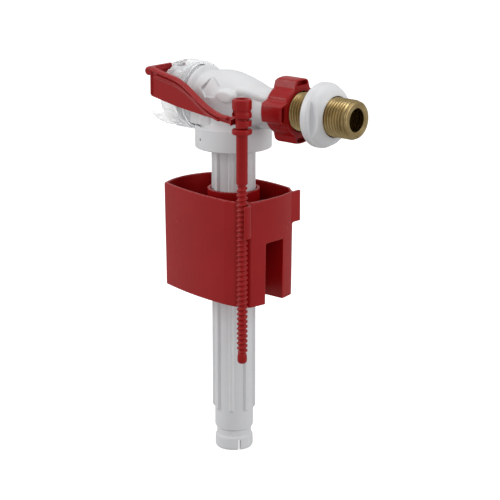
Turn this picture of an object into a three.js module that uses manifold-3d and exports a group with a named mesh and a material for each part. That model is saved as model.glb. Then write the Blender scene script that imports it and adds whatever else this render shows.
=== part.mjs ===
// A toilet fill valve with a side inlet, for fitting inside a cistern. All sizes are in millimetres.
// Water comes in along X through a threaded brass tail, and a diaphragm valve under a clear cap
// passes it down a ribbed tube along Z. A cup float rides on the tube. It hangs on a screwed rod,
// and the rod lifts a lever that presses a rubber pad on the pilot nozzle in the cap.
// The model is drawn around the crossing of the tube and inlet axes, then moved so that the origin
// is on the inlet axis in the plane where the cistern wall's inner face sits.
import * as THREE from 'three';
import { mergeVertices } from 'three/addons/utils/BufferGeometryUtils.js';
import Module from 'manifold-3d';

const wasm = await Module();
wasm.setup();

// Driving dimensions
const WALL_X = 49.3;            // from the tube axis to the cistern wall's inner face
const ROUND = 32;               // facets round a full circle
const SMALL_ROUND = 16;         // facets round a small pin or hole

const TUBE_R = 10.7;            // down tube, outside
const TUBE_BORE_R = 9.3;
const TUBE_END_Z = -186;
const RIB_R = 12.1;             // out to the tips of the tube's long ribs
const RIB_COUNT = 8;
const RIB_TURN = -0.19;          // the first rib's angle about the tube axis
const RIB_END_Z = -174;
const COLLAR_R = 20.97;
const COLLAR_TOP_Z = -13.05;
const COLLAR_BOTTOM_Z = -25.3;
const FOOT_R = 10.55;
const FOOT_BOTTOM_Z = -197.9;

const THREAD_R = 10.478;        // half the 20.955 mm outside diameter of a G 1/2 thread
const NUT_BORE_R = 10.8;
const TAIL_BORE_R = 6.05;
const TAIL_END_X = 85.8;
const HEAD_NECK_R = 9.9;
const HEAD_NECK_END_X = 33.2;

const CAP_R = 19.2;
const CAP_BORE_R = 17.2;
const CAP_END_X = -22.3;         // open end of the cap's skirt
const SEAT_TIP_X = -24;         // rim of the main valve seat
const PILOT_Z = 3;              // height of the pilot nozzle over the inlet axis

const PIVOT_X = -43.3;          // lever pivot, along Y
const PIVOT_Z = 13.9;
const LEVER_WALL = 1.7;
const LEVER_CORNER = { x: -42, y: -21.2 };    // outer face of the lever's long arm, at its left end
const LEVER_ARM_TURN = Math.atan2(-10.1, 72); // the arm spreads outwards to reach the rod
const LEVER_BACK_Y = 8.2;       // back of the lever's end wall, just behind the cap's ear
const PIN_BACK_Y = 7.2;

const ROD_X = 34.8;
const ROD_Y = -32;
const ROD_SHAFT_R = 3.1;
const ROD_THREAD_R = 3;
const ROD_HEAD_R = 5.2;
const ROD_HEAD_BOTTOM_Z = -0.56;
const ROD_FLANGE_TOP_Z = -6.37;

const FLOAT_TOP_Z = -46.9;
const FLOAT_BOTTOM_Z = -104.8;
const FLOAT_WALL = 1.5;
const FLOAT_SLEEVE_R = 14.4;
const FLOAT_BORE_R = 12.7;
const FLOAT_DRAFT = 0.02;       // how much the plan shrinks from the float's rim to its base

// ---- Solids: closed meshes that can be joined and cut ----

function signedVolume(geometry) {
  const position = geometry.attributes.position;
  const index = geometry.index;
  const corner = [0, 1, 2].map(() => new THREE.Vector3());
  let sum = 0;
  for (let i = 0; i < index.count; i += 3) {
    corner.forEach((point, k) => point.fromBufferAttribute(position, index.getX(i + k)));
    sum += corner[0].dot(corner[1].cross(corner[2]));
  }
  return sum / 6;
}

function solid(geometry) {
  const bare = geometry.clone();
  bare.deleteAttribute('normal');
  bare.deleteAttribute('uv');
  const merged = mergeVertices(bare, 1e-4);
  const triangles = [];
  const index = merged.index.array;
  const inward = signedVolume(merged) < 0;
  for (let i = 0; i < index.length; i += 3) {
    const [a, b, c] = [index[i], index[i + 1], index[i + 2]];
    if (a !== b && b !== c && c !== a) triangles.push(...(inward ? [a, c, b] : [a, b, c]));
  }
  return new wasm.Manifold(new wasm.Mesh({
    numProp: 3,
    vertProperties: new Float32Array(merged.attributes.position.array),
    triVerts: new Uint32Array(triangles),
  }));
}

function join(...solids) {
  return solids.reduce((whole, piece) => whole.add(piece));
}

function cut(body, ...tools) {
  return tools.reduce((whole, tool) => whole.subtract(tool), body);
}

function toGeometry(body) {
  const mesh = body.getMesh();
  const geometry = new THREE.BufferGeometry();
  geometry.setAttribute('position', new THREE.BufferAttribute(mesh.vertProperties, 3));
  geometry.setIndex(new THREE.BufferAttribute(mesh.triVerts, 1));
  return geometry;
}

function box([x0, x1], [y0, y1], [z0, z1]) {
  const geometry = new THREE.BoxGeometry(x1 - x0, y1 - y0, z1 - z0);
  geometry.translate((x0 + x1) / 2, (y0 + y1) / 2, (z0 + z1) / 2);
  return geometry;
}

// A closed outline of [radius, height] pairs turned about Z.
function turnedZ(outline, facets = ROUND) {
  const points = outline.map(([radius, height]) => new THREE.Vector2(radius, height));
  const onAxis = outline[0][0] === 0 && outline.at(-1)[0] === 0;
  if (!onAxis) points.push(points[0].clone());
  return new THREE.LatheGeometry(points, facets).rotateX(Math.PI / 2);
}

// The same about X, with heights measured along X.
function turnedX(outline, facets = ROUND) {
  return turnedZ(outline, facets).rotateY(Math.PI / 2);
}

function rodZ(radius, z0, z1, x = 0, y = 0, facets = ROUND) {
  return turnedZ([[0, z0], [radius, z0], [radius, z1], [0, z1]], facets).translate(x, y, 0);
}

function rodX(radius, x0, x1, y = 0, z = 0, facets = ROUND) {
  return turnedX([[0, x0], [radius, x0], [radius, x1], [0, x1]], facets).translate(0, y, z);
}

function rodY(radius, y0, y1, x = 0, z = 0, facets = SMALL_ROUND) {
  return rodZ(radius, -y1, -y0, 0, 0, facets).rotateX(Math.PI / 2).translate(x, 0, z);
}

function ringX(outer, inner, x0, x1) {
  return turnedX([[inner, x0], [outer, x0], [outer, x1], [inner, x1]]);
}

// A round cord bent into a ring about Z.
function torusZ(ringRadius, cordRadius, z) {
  const outline = [];
  const sides = 6;
  for (let i = 0; i < sides; i += 1) {
    const angle = (i / sides) * 2 * Math.PI;
    outline.push([ringRadius + cordRadius * Math.cos(angle), z + cordRadius * Math.sin(angle)]);
  }
  return turnedZ(outline, SMALL_ROUND);
}

// A flat outline in XY raised along Z.
function prismZ(shape, z0, z1) {
  const settings = { depth: z1 - z0, bevelEnabled: false, curveSegments: 10 };
  return new THREE.ExtrudeGeometry(shape, settings).translate(0, 0, z0);
}

// A flat outline in XZ, thickened along Y.
function prismY(shape, y0, y1) {
  const settings = { depth: y1 - y0, bevelEnabled: false, curveSegments: 10 };
  return new THREE.ExtrudeGeometry(shape, settings).rotateX(Math.PI / 2).translate(0, y1, 0);
}

// ---- Materials ----

const white = { color: 0xf0f0ee, roughness: 0.38, metalness: 0 };
const red = { color: 0xa02024, roughness: 0.42, metalness: 0 };
const clear = { color: 0xe6ecec, roughness: 0.12, metalness: 0, transparent: true, opacity: 0.5 };
const brass = { color: 0xb09048, roughness: 0.3, metalness: 1 };
const rubber = { color: 0x1c1c1e, roughness: 0.8, metalness: 0 };
const steel = { color: 0xc4c6c8, roughness: 0.3, metalness: 1 };
const greyPlastic = { color: 0xc9cbcc, roughness: 0.5, metalness: 0 };

const valve = new THREE.Group();
const drawing = new THREE.Group();
drawing.position.x = -WALL_X;
valve.add(drawing);

function place(name, body, look) {
  const mesh = new THREE.Mesh(toGeometry(body), new THREE.MeshStandardMaterial(look));
  mesh.name = name;
  drawing.add(mesh);
  return mesh;
}

// ---- Valve head: dome, diaphragm chamber, inlet neck and outlet spout ----

function valveHead() {
  const dome = turnedX([
    [0, -25.9], [16.4, -25.9], [16.4, -22.6], [14.4, -22.4], [14.4, -21.6], [17.2, -21.4],
    [17.2, -18.8], [14.4, -17.4], [15.5, -11.5],
    [16.3, -4.3], [15.9, 1.6], [14.3, 9.1], [12.2, 16.6], [10.4, 21.6], [HEAD_NECK_R, 24],
    [HEAD_NECK_R, HEAD_NECK_END_X], [0, HEAD_NECK_END_X],
  ]);
  const skirt = turnedZ([
    [0, -22.4], [18.7, -22.4], [18.7, -12.4], [17.2, -11.4], [15.4, -2], [0, -2],
  ]);
  const spout = rodZ(9, -31, -22);
  const stopBlock = box([-17, -8], [-16.6, -10], [-12.6, -2]);
  const collarGroove = turnedZ([[18.8, -30], [21.4, -30], [21.4, -12.7], [18.8, -12.7]]);
  const chamber = ringX(11.2, 6.2, SEAT_TIP_X - 4, -12.5);
  const seatRecess = rodX(11.2, SEAT_TIP_X - 4, SEAT_TIP_X);
  const seatBore = rodX(4.2, -30, 4);
  const outletBore = rodZ(6.6, -40, 3.8);
  const upperDuct = rodX(2.8, -14, 17, 0, 8.2, SMALL_ROUND);
  const ductElbow = rodZ(2.8, 0, 8.2, 15.5, 0, SMALL_ROUND);
  const ductFoot = rodX(4.6, 13.5, 20, 0, 0, SMALL_ROUND);
  const tailSocket = rodX(8.7, 19, 60);
  const sealGroove = turnedZ([[7.9, -28.2], [9.6, -28.2], [9.6, -26.6], [7.9, -26.6]]);
  return cut(
    join(solid(dome), solid(skirt), solid(spout), solid(stopBlock)),
    ...[collarGroove, chamber, seatRecess, seatBore, outletBore].map(solid),
    ...[upperDuct, ductElbow, ductFoot, tailSocket, sealGroove].map(solid),
  );
}

// ---- Down tube, its collar cup and the slotted foot ----

function downTube() {
  const shell = turnedZ([
    [TUBE_BORE_R, TUBE_END_Z], [TUBE_R, TUBE_END_Z], [TUBE_R, COLLAR_BOTTOM_Z],
    [COLLAR_R, COLLAR_BOTTOM_Z], [COLLAR_R, COLLAR_TOP_Z], [19.1, COLLAR_TOP_Z], [19.1, -22.8],
    [TUBE_BORE_R, -22.8],
  ]);
  const ribs = [];
  for (let i = 0; i < RIB_COUNT; i += 1) {
    const rib = box([TUBE_R - 0.8, RIB_R], [-0.8, 0.8], [RIB_END_Z, COLLAR_BOTTOM_Z + 0.5]);
    ribs.push(solid(rib.rotateZ(RIB_TURN + (i / RIB_COUNT) * 2 * Math.PI)));
  }
  const window = rodX(0.9, -22, -15, 0, -19.6, SMALL_ROUND).rotateZ(1.283);
  return cut(join(solid(shell), ...ribs), solid(window));
}

function footRing() {
  const ring = turnedZ([
    [8, FOOT_BOTTOM_Z], [9.6, FOOT_BOTTOM_Z], [FOOT_R, FOOT_BOTTOM_Z + 1.2], [FOOT_R, -191.3],
    [10.1, -190.3], [9.7, -186.3], [8.9, -186.3], [8.9, -181], [8, -181],
  ]);
  const slots = [];
  for (let i = 0; i < 3; i += 1) {
    const slot = box([6, 12], [-0.75, 0.75], [FOOT_BOTTOM_Z - 1, -191.8]);
    slots.push(solid(slot.rotateZ(-0.54 + (i / 3) * 2 * Math.PI)));
  }
  return cut(solid(ring), ...slots);
}

// ---- Inlet: brass tail, its seal, the strainer, two nuts and two washers ----

function brassTail() {
  const outside = turnedX([
    [0, 19.4], [8.3, 19.4], [8.3, 23], [6.6, 23], [6.6, 25.6], [8.3, 25.6], [8.3, 33.6],
    [THREAD_R, 33.6], [THREAD_R, TAIL_END_X - 1.2], [9.5, TAIL_END_X], [0, TAIL_END_X],
  ]);
  return cut(solid(outside), solid(rodX(TAIL_BORE_R, 10, 100)));
}

function inletStrainer() {
  const cup = turnedX([
    [0, 52], [4.2, 52], [5.1, 66], [5.7, 66], [5.7, 68], [4.2, 68], [3.4, 53], [0, 53],
  ], SMALL_ROUND);
  const windows = [];
  for (let i = 0; i < 4; i += 1) {
    windows.push(solid(box([54, 64.5], [-0.9, 0.9], [2, 7]).rotateX((i / 4) * 2 * Math.PI)));
  }
  return cut(solid(cup), ...windows);
}

function lobedNut() {
  const [left, right] = [33.9, 49];
  const core = turnedX([
    [0, left], [13.2, left], [14, left + 2], [14, right - 1], [13.4, right], [0, right],
  ]);
  const lobeEnvelope = turnedX([
    [0, left], [16.6, left], [17.5, left + 1.4], [17.5, right - 1], [17.1, right - 0.2],
    [0, right - 0.2],
  ], 48);
  const lobes = [];
  const pockets = [];
  for (let i = 0; i < 4; i += 1) {
    const turn = (i / 4) * 2 * Math.PI;
    const wedge = box([left - 1, right + 1], [-5.1, 5.1], [11, 20]).rotateX(turn);
    const pocket = box([41, right + 1], [-3.6, 3.6], [14.4, 16.2]).rotateX(turn);
    lobes.push(solid(lobeEnvelope).intersect(solid(wedge)));
    pockets.push(solid(pocket));
  }
  const throughBore = rodX(NUT_BORE_R, 20, 70);
  const sealGroove = ringX(12.9, 10, 43.2, 45.8);
  return cut(join(solid(core), ...lobes), ...pockets, solid(throughBore), solid(sealGroove));
}

function flangedNut() {
  const left = 61;
  const body = turnedX([
    [0, left], [16.8, left], [17.4, left + 0.7], [17.4, left + 4.1], [16.8, left + 4.8],
    [15.7, left + 7.4], [14, left + 9.4], [11.6, left + 10.8], [0, left + 10.8],
  ]);
  const flats = [1, -1].map((side) => {
    const away = side * 20;
    return solid(box([left + 4.9, left + 20], [away - 6.6, away + 6.6], [-20, 20]));
  });
  const throughBore = rodX(NUT_BORE_R, 20, 90);
  const washerRecess = rodX(13.8, left - 1, left + 1.6);
  return cut(solid(body), ...flats, solid(throughBore), solid(washerRecess));
}

// ---- Clear cap, diaphragm and the parts of the pilot valve ----

function clearCap() {
  const shell = turnedX([
    [0, -38], [17.6, -38], [CAP_R - 0.7, -36.6], [CAP_R - 0.7, CAP_END_X], [CAP_BORE_R, CAP_END_X],
    [CAP_BORE_R, -27.9], [15, -27.9], [15, -35.5], [0, -35.5],
  ]);
  const grips = [];
  for (let i = 0; i < 12; i += 1) {
    const grip = box([-37, CAP_END_X - 0.8], [-2, 2], [CAP_BORE_R + 0.5, CAP_R - 0.1]);
    grips.push(solid(grip.rotateX(((i + 0.5) / 12) * 2 * Math.PI)));
  }
  const chinShell = turnedX([
    [17, -48.5], [17.6, -48.5], [CAP_R - 0.7, -44], [CAP_R - 0.7, -36], [16.6, -36],
  ]);
  const chin = solid(chinShell).intersect(solid(box([-50, -30], [-14, 14], [-20, -5])));
  const nozzle = rodX(1.4, -38.8, -37, 0, PILOT_Z, SMALL_ROUND);
  const pilotHole = rodX(0.6, -45, -30, 0, PILOT_Z, 8);
  const ear = join(
    solid(box([PIVOT_X, -37], [-4.5, 4.5], [PIVOT_Z - 2.6, PIVOT_Z + 2.6])),
    solid(rodY(2.6, -4.5, 4.5, PIVOT_X, PIVOT_Z)),
  );
  const pinHole = rodY(1.4, -10, 10, PIVOT_X, PIVOT_Z);
  return cut(join(solid(shell), ...grips, chin, solid(nozzle), ear), solid(pilotHole), solid(pinHole));
}

function diaphragm() {
  const disc = turnedX([
    [3.4, -27.8], [10.5, -27.8], [11.6, -28.8], [12.7, -27.8], [14.4, -27.6], [16.8, -27.6],
    [16.8, -26.2], [14.4, -26.2], [12.6, -26.9], [11.6, -27.9], [10.6, -26.9], [3.4, -26.9],
  ], 24);
  return cut(solid(disc), solid(rodX(0.9, -30, -20, 0, -9.5, 8)));
}

function diaphragmCore() {
  return solid(turnedX([
    [0, -30.2], [7, -30.2], [7, -28.9], [3, -28.9], [3, -26], [5.8, -26], [5.8, -25.2], [0, -25.2],
  ], SMALL_ROUND));
}

function bleedPin() {
  return solid(turnedX([
    [0, -35.2], [1.4, -35.2], [1.4, -34.3], [0.5, -34.3], [0.5, -25.2], [0, -25.2],
  ], 8).translate(0, 0, -9.5));
}

// ---- Lever ----

function leverArm() {
  // Drawn along the arm: the first number runs from the lever's left end, the second is the height.
  const outline = new THREE.Shape();
  outline.moveTo(0, 0.3);
  outline.lineTo(23.2, -2.6);
  outline.lineTo(66.2, -5.5);
  outline.lineTo(72.3, -5.1);
  outline.lineTo(72.3, -1.4);
  outline.splineThru([
    [69.5, -1.5], [65.7, -1.5], [58.6, -1.1], [51.4, 0.6], [44.2, 3.7], [36.9, 7.4], [29.5, 11],
    [22.1, 13.3], [14.6, 14.4], [8, 15.3], [1.5, 16.4], [0, 16.4],
  ].map(([along, height]) => new THREE.Vector2(along, height)));
  outline.closePath();
  const plate = prismY(outline, 0, LEVER_WALL).rotateZ(LEVER_ARM_TURN);
  return solid(plate.translate(LEVER_CORNER.x - 0.6, LEVER_CORNER.y, 0));
}

function rodClip() {
  // A flat clip, open to the front, that holds the bush. It is longer along X than the bush, because
  // the lever's end swings in an arc while the rod rises straight.
  const slack = 1.5;
  function stadium(radius) {
    const shape = new THREE.Shape();
    shape.absarc(0, 0, radius, -Math.PI / 2, Math.PI / 2, false);
    shape.absarc(-slack, 0, radius, Math.PI / 2, (3 * Math.PI) / 2, false);
    shape.closePath();
    return shape;
  }
  const [bottom, top] = [-4.8, -1.6];
  const clip = cut(
    solid(prismZ(stadium(5.2), bottom, top)),
    solid(prismZ(stadium(3.7), bottom - 1, top + 1)),
    solid(box([-slack - 2.6, 2.6], [-8, -1.2], [bottom - 1, top + 1])),
  );
  return clip.translate([ROD_X, ROD_Y, 0]);
}

function lever() {
  const arm = leverArm();
  const [outer, inner] = [-42.8, -41.2];
  const endWall = box([outer, inner], [-20.9, LEVER_BACK_Y], [0.3, 17.4]);
  const barrel = rodY(2.5, -20.9, LEVER_BACK_Y, PIVOT_X, PIVOT_Z);
  const earSlot = box([-50, -36], [-4.9, 4.9], [PIVOT_Z - 3.4, 22]);
  const pinBore = rodY(1.4, -19.4, PIN_BACK_Y + 0.4, PIVOT_X, PIVOT_Z);
  return cut(
    join(arm, solid(endWall), solid(barrel), rodClip()),
    solid(earSlot), solid(pinBore),
  );
}

// ---- Adjusting rod and its bush ----

function adjustingRod() {
  return solid(turnedZ([
    [0, -134.2], [1.6, -134.2], [2.6, -132.8], [2.6, -129.2], [ROD_THREAD_R, -128.6],
    [ROD_THREAD_R, -35.7], [ROD_SHAFT_R, -35], [ROD_SHAFT_R, -9.28], [5, -9.28], [5.4, -8.8],
    [5.4, -6.8], [5, ROD_FLANGE_TOP_Z], [2.3, ROD_FLANGE_TOP_Z], [2.3, ROD_HEAD_BOTTOM_Z],
    [ROD_HEAD_R, ROD_HEAD_BOTTOM_Z], [ROD_HEAD_R, 2.1], [4.8, 2.5], [4.8, 3.7], [ROD_HEAD_R, 4.1],
    [ROD_HEAD_R, 8.9], [4.7, 9.44], [0, 9.44],
  ], 20).translate(ROD_X, ROD_Y, 0));
}

function rodBush() {
  return solid(turnedZ([[2.65, -6.05], [3.35, -6.05], [3.35, -0.88], [2.65, -0.88]], 24)
    .translate(ROD_X, ROD_Y, 0));
}

// ---- Float ----

// The float's plan, drawn inset from its outside by a wall thickness.
function floatPlan(inset) {
  const [left, right, front, back] = [-36.8 + inset, 38.3 - inset, -31 + inset, 19.3 - inset];
  const shape = new THREE.Shape();
  shape.moveTo(left + 4.6, -21.4 + inset);
  shape.quadraticCurveTo(-4, front + 0.6, 21, front);
  shape.lineTo(28, front + 0.5);
  shape.lineTo(right - 2.2 - inset * 0.4, -26.4 + inset * 0.7);
  shape.quadraticCurveTo(right + 1.4, -8, right - 3.2, 8.9 - inset * 0.4);
  shape.lineTo(27.3, 15.6 - inset);
  shape.quadraticCurveTo(12, back + 0.3, 0, back);
  shape.quadraticCurveTo(-18, back + 0.2, left + 5, 15.5 - inset);
  shape.quadraticCurveTo(left - 4.4, -2, left + 4.6, -21.4 + inset);
  return shape;
}

// Draws a prism in towards the tube axis as it goes down, like a moulding with draft.
function drafted(geometry) {
  const position = geometry.attributes.position;
  const height = FLOAT_TOP_Z - FLOAT_BOTTOM_Z;
  for (let i = 0; i < position.count; i += 1) {
    const scale = 1 - (FLOAT_DRAFT * (FLOAT_TOP_Z - position.getZ(i))) / height;
    position.setX(i, position.getX(i) * scale);
    position.setY(i, position.getY(i) * scale);
  }
  return geometry;
}

function floatCup() {
  const [notchX, notchFront, notchBack, notchTop] = [16.6, -15.3, -0.9, -71];
  const outside = solid(drafted(prismZ(floatPlan(0), FLOAT_BOTTOM_Z, FLOAT_TOP_Z)));
  const cavity = solid(drafted(prismZ(floatPlan(FLOAT_WALL), FLOAT_BOTTOM_Z + FLOAT_WALL, FLOAT_TOP_Z + 1)));
  const sleeve = rodZ(FLOAT_SLEEVE_R, FLOAT_BOTTOM_Z, FLOAT_TOP_Z - 1.4);
  const notchLining = box(
    [notchX - FLOAT_WALL, 50], [notchFront - FLOAT_WALL, notchBack + FLOAT_WALL],
    [FLOAT_BOTTOM_Z, notchTop + FLOAT_WALL],
  );
  const basin = cut(cavity, solid(sleeve), solid(notchLining));
  const notch = box([notchX, 60], [notchFront, notchBack], [FLOAT_BOTTOM_Z - 5, notchTop]);
  const tab = box([33.9, 35.5], [8, 15.1], [-64, FLOAT_TOP_Z]);
  const bore = rodZ(FLOAT_BORE_R, FLOAT_BOTTOM_Z - 1, FLOAT_TOP_Z + 1);
  return join(cut(outside, basin, solid(notch), solid(bore)), rodGuide(), solid(tab));
}

// The clip on the float's corner that follows the rod's thread.
function rodGuide() {
  const [bottom, top] = [-65, FLOAT_TOP_Z - 0.3];
  const [boreRadius, outerRadius] = [3.45, 4.9];
  const [frontTip, root] = [-0.6, 2.2];
  const shape = new THREE.Shape();
  shape.absarc(0, 0, outerRadius, frontTip, root, false);
  shape.absarc(0, 0, boreRadius, root, frontTip, true);
  shape.closePath();
  const ring = solid(prismZ(shape, bottom, top));
  const web = solid(box([boreRadius + 0.3, 7], [-2.4, 2.4], [bottom, top]).rotateZ(2.02));
  return join(ring, web).translate([ROD_X, ROD_Y, 0]);
}

// ---- The assembly ----

place('valve_head', valveHead(), white);
place('down_tube', downTube(), white);
place('tube_o_ring', solid(torusZ(8.75, 0.5, -27.4)), rubber);
place('foot_ring', footRing(), white);
place('brass_tail', brassTail(), brass);
place('tail_o_ring', solid(torusZ(7.65, 0.72, 24.3).rotateY(Math.PI / 2)), rubber);
place('inlet_strainer', inletStrainer(), greyPlastic);
place('lobed_nut', lobedNut(), red);
place('wall_seal', solid(ringX(12.7, 10.9, 43.4, 45.6)), rubber);
place('flanged_nut', flangedNut(), white);
place('backnut_washer', solid(ringX(13.4, 10.9, 61, 62.3)), greyPlastic);
place('clear_cap', clearCap(), clear);
place('diaphragm', diaphragm(), rubber);
place('diaphragm_core', diaphragmCore(), greyPlastic);
place('bleed_pin', bleedPin(), steel);
place('lever', lever(), red);
place('lever_pin', solid(rodY(1.1, -19, PIN_BACK_Y, PIVOT_X, PIVOT_Z)), steel);
place('pilot_pad', solid(rodX(2.4, -40.9, -40.2, 0, PILOT_Z, SMALL_ROUND)), rubber);
place('rod_bush', rodBush(), red);
place('adjusting_rod', adjustingRod(), red);
place('float_cup', floatCup(), red);

export default valve;
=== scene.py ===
"""A toilet fill valve with a red cup float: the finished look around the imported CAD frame.

Every piece is drawn in millimetres, in the drawing frame: the origin is where the axes of the
down tube and the inlet cross, +X runs along the inlet towards the cistern wall, and +Z is up.
show() moves the finished mesh into the row frame, in metres.
"""

import math

import bmesh
import bpy
import numpy as np
from mathutils import Matrix, Vector


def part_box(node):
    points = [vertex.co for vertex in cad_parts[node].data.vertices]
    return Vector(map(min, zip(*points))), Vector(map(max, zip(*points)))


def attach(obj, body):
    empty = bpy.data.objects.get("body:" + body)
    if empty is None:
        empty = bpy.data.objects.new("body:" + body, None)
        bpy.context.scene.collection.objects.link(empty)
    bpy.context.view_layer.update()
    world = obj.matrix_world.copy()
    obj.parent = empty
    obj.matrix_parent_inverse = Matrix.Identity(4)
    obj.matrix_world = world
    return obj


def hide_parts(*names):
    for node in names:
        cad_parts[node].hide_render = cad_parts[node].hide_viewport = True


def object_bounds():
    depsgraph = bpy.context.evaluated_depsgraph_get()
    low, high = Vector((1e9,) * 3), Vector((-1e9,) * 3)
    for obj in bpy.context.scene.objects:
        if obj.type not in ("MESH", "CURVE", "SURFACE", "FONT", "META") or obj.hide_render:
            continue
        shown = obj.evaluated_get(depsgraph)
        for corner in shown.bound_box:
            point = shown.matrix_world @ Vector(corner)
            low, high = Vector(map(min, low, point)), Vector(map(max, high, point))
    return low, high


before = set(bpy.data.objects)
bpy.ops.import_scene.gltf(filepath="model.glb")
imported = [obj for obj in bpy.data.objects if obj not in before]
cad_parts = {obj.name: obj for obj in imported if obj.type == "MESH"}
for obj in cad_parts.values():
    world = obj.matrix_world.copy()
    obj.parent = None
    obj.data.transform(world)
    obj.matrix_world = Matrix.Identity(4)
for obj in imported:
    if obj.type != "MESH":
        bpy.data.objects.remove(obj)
cad_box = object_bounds()

MM = 0.001
TUBE_X = sum(corner.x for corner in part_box("down_tube")) / 2
TO_ROW_FRAME = Matrix.Translation((TUBE_X, 0, 0)) @ Matrix.Diagonal((MM, MM, MM, 1))


def extent(node):
    """The lowest and highest corner of a CAD node, in millimetres in the drawing frame."""
    shift = Vector((TUBE_X, 0, 0))
    return [(corner - shift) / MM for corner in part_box(node)]


# ---- Outlines ----


def rounded(outline, size, steps=3):
    """A closed outline with its corners replaced by short curves. A point on the axis stays."""
    points = [Vector(point) for point in outline]
    result = []
    for i, corner in enumerate(points):
        before = points[i - 1] - corner
        after = points[(i + 1) % len(points)] - corner
        if corner.x == 0 or before.length < 1e-6 or after.length < 1e-6:
            result.append(corner)
            continue
        start = corner + before.normalized() * min(size, 0.45 * before.length)
        end = corner + after.normalized() * min(size, 0.45 * after.length)
        for k in range(steps + 1):
            t = k / steps
            result.append(start * (1 - t) ** 2 + corner * (2 * t * (1 - t)) + end * t**2)
    return [tuple(point) for point in result]


def circle(radius, centre=(0, 0), steps=24):
    turns = [2 * math.pi * k / steps for k in range(steps)]
    return [(centre[0] + radius * math.cos(a), centre[1] + radius * math.sin(a)) for a in turns]


def arc(radius, start, end, steps=12, centre=(0, 0)):
    """Points on a circle between two angles in degrees."""
    turns = np.radians(np.linspace(start, end, steps + 1))
    return [(centre[0] + radius * math.cos(a), centre[1] + radius * math.sin(a)) for a in turns]


def curve_through(points, steps=8):
    """A smooth open curve through the points."""
    p = [Vector(point) for point in points]
    p = [2 * p[0] - p[1]] + p + [2 * p[-1] - p[-2]]
    result = []
    for a, b, c, d in zip(p, p[1:], p[2:], p[3:]):
        for k in range(steps):
            t = k / steps
            result.append(
                0.5 * (2 * b + (c - a) * t + (2 * a - 5 * b + 4 * c - d) * t**2
                       + (3 * b - a - 3 * c + d) * t**3)
            )
    return [tuple(point) for point in result + [p[-2]]]


# ---- Closed meshes ----


def closed_mesh(points, faces):
    """A mesh with its double points merged, its open ends filled and its faces pointing out."""
    mesh = bpy.data.meshes.new("draft")
    mesh.from_pydata(points, [], faces)
    edit = bmesh.new()
    edit.from_mesh(mesh)
    bmesh.ops.remove_doubles(edit, verts=edit.verts, dist=1e-4)
    bmesh.ops.dissolve_degenerate(edit, edges=edit.edges, dist=1e-5)
    bmesh.ops.holes_fill(edit, edges=[edge for edge in edit.edges if edge.is_boundary])
    bmesh.ops.recalc_face_normals(edit, faces=edit.faces)
    edit.to_mesh(mesh)
    edit.free()
    return mesh


def skinned(rings, loop=False):
    """Quads between successive closed rings, given as an array of rows, columns and xyz."""
    rows, columns = rings.shape[:2]
    row, column = np.meshgrid(
        np.arange(rows if loop else rows - 1), np.arange(columns), indexing="ij"
    )
    below, beside = (row + 1) % rows, (column + 1) % columns
    corners = [row * columns + column, row * columns + beside,
               below * columns + beside, below * columns + column]
    faces = np.stack(corners, -1).reshape(-1, 4)
    return closed_mesh(rings.reshape(-1, 3).tolist(), faces.tolist())


AXIS_ORDER = {"X": (2, 0, 1), "Y": (1, 2, 0), "Z": (0, 1, 2)}


def turned(outline, axis="Z", steps=96, centre=(0, 0), angles=None, shape=None):
    """A closed (radius, height) outline turned about an axis. The centre is given as y, z for X,
    as z, x for Y or as x, y for Z. shape(angle, height, radius) may give the radius a pattern."""
    outline = np.array(outline, float)
    if angles is None:
        angles = np.linspace(0, 2 * math.pi, steps, endpoint=False)
    height, angle = np.meshgrid(outline[:, 1], angles, indexing="ij")
    radius = np.broadcast_to(outline[:, :1], height.shape)
    if shape:
        radius = shape(angle, height, radius)
    local = [radius * np.cos(angle) + centre[0], radius * np.sin(angle) + centre[1], height]
    return skinned(np.stack([local[k] for k in AXIS_ORDER[axis]], -1), loop=True)


def cylinder(radius, start, end, axis="Z", steps=96, centre=(0, 0)):
    """A plain round cylinder between two heights along an axis."""
    return turned([(0, start), (radius, start), (radius, end), (0, end)], axis, steps, centre)


def prism(outline, axis, start, end):
    """A closed flat outline drawn out along an axis, given like the centre of turned()."""
    outline = np.array(outline, float)
    rings = []
    for height in (start, end):
        flat = [outline[:, 0], outline[:, 1], np.full(len(outline), float(height))]
        rings.append(np.stack([flat[k] for k in AXIS_ORDER[axis]], -1))
    return skinned(np.stack(rings))


def block(x, y, z, turn=0, axis="Z"):
    """A box between pairs of bounds, turned about an axis by an angle in radians."""
    corners = [(x[0], y[0]), (x[1], y[0]), (x[1], y[1]), (x[0], y[1])]
    mesh = prism(corners, "Z", *z)
    mesh.transform(Matrix.Rotation(turn, 4, axis))
    return mesh


def bead(path, radius, steps=12):
    """A round bar along an open path of points, with rounded ends."""
    path = np.array(path, float)
    ahead = np.gradient(path, axis=0)
    ahead /= np.linalg.norm(ahead, axis=1)[:, None]
    side = np.cross(ahead, (0, 0, 1) if abs(ahead[0][2]) < 0.9 else (0, 1, 0))
    side /= np.linalg.norm(side, axis=1)[:, None]
    up = np.cross(side, ahead)
    sizes = [0.3, 0.75] + [1] * len(path) + [0.75, 0.3]
    pushes = [-0.95, -0.65] + [0] * len(path) + [0.65, 0.95]
    order = [0, 0] + list(range(len(path))) + [len(path) - 1] * 2
    rings = []
    for size, push, k in zip(sizes, pushes, order):
        rings.append([
            path[k] + radius * (push * ahead[k] + size * (math.cos(a) * side[k] + math.sin(a) * up[k]))
            for a in np.linspace(0, 2 * math.pi, steps, endpoint=False)
        ])
    return skinned(np.array(rings))


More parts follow.
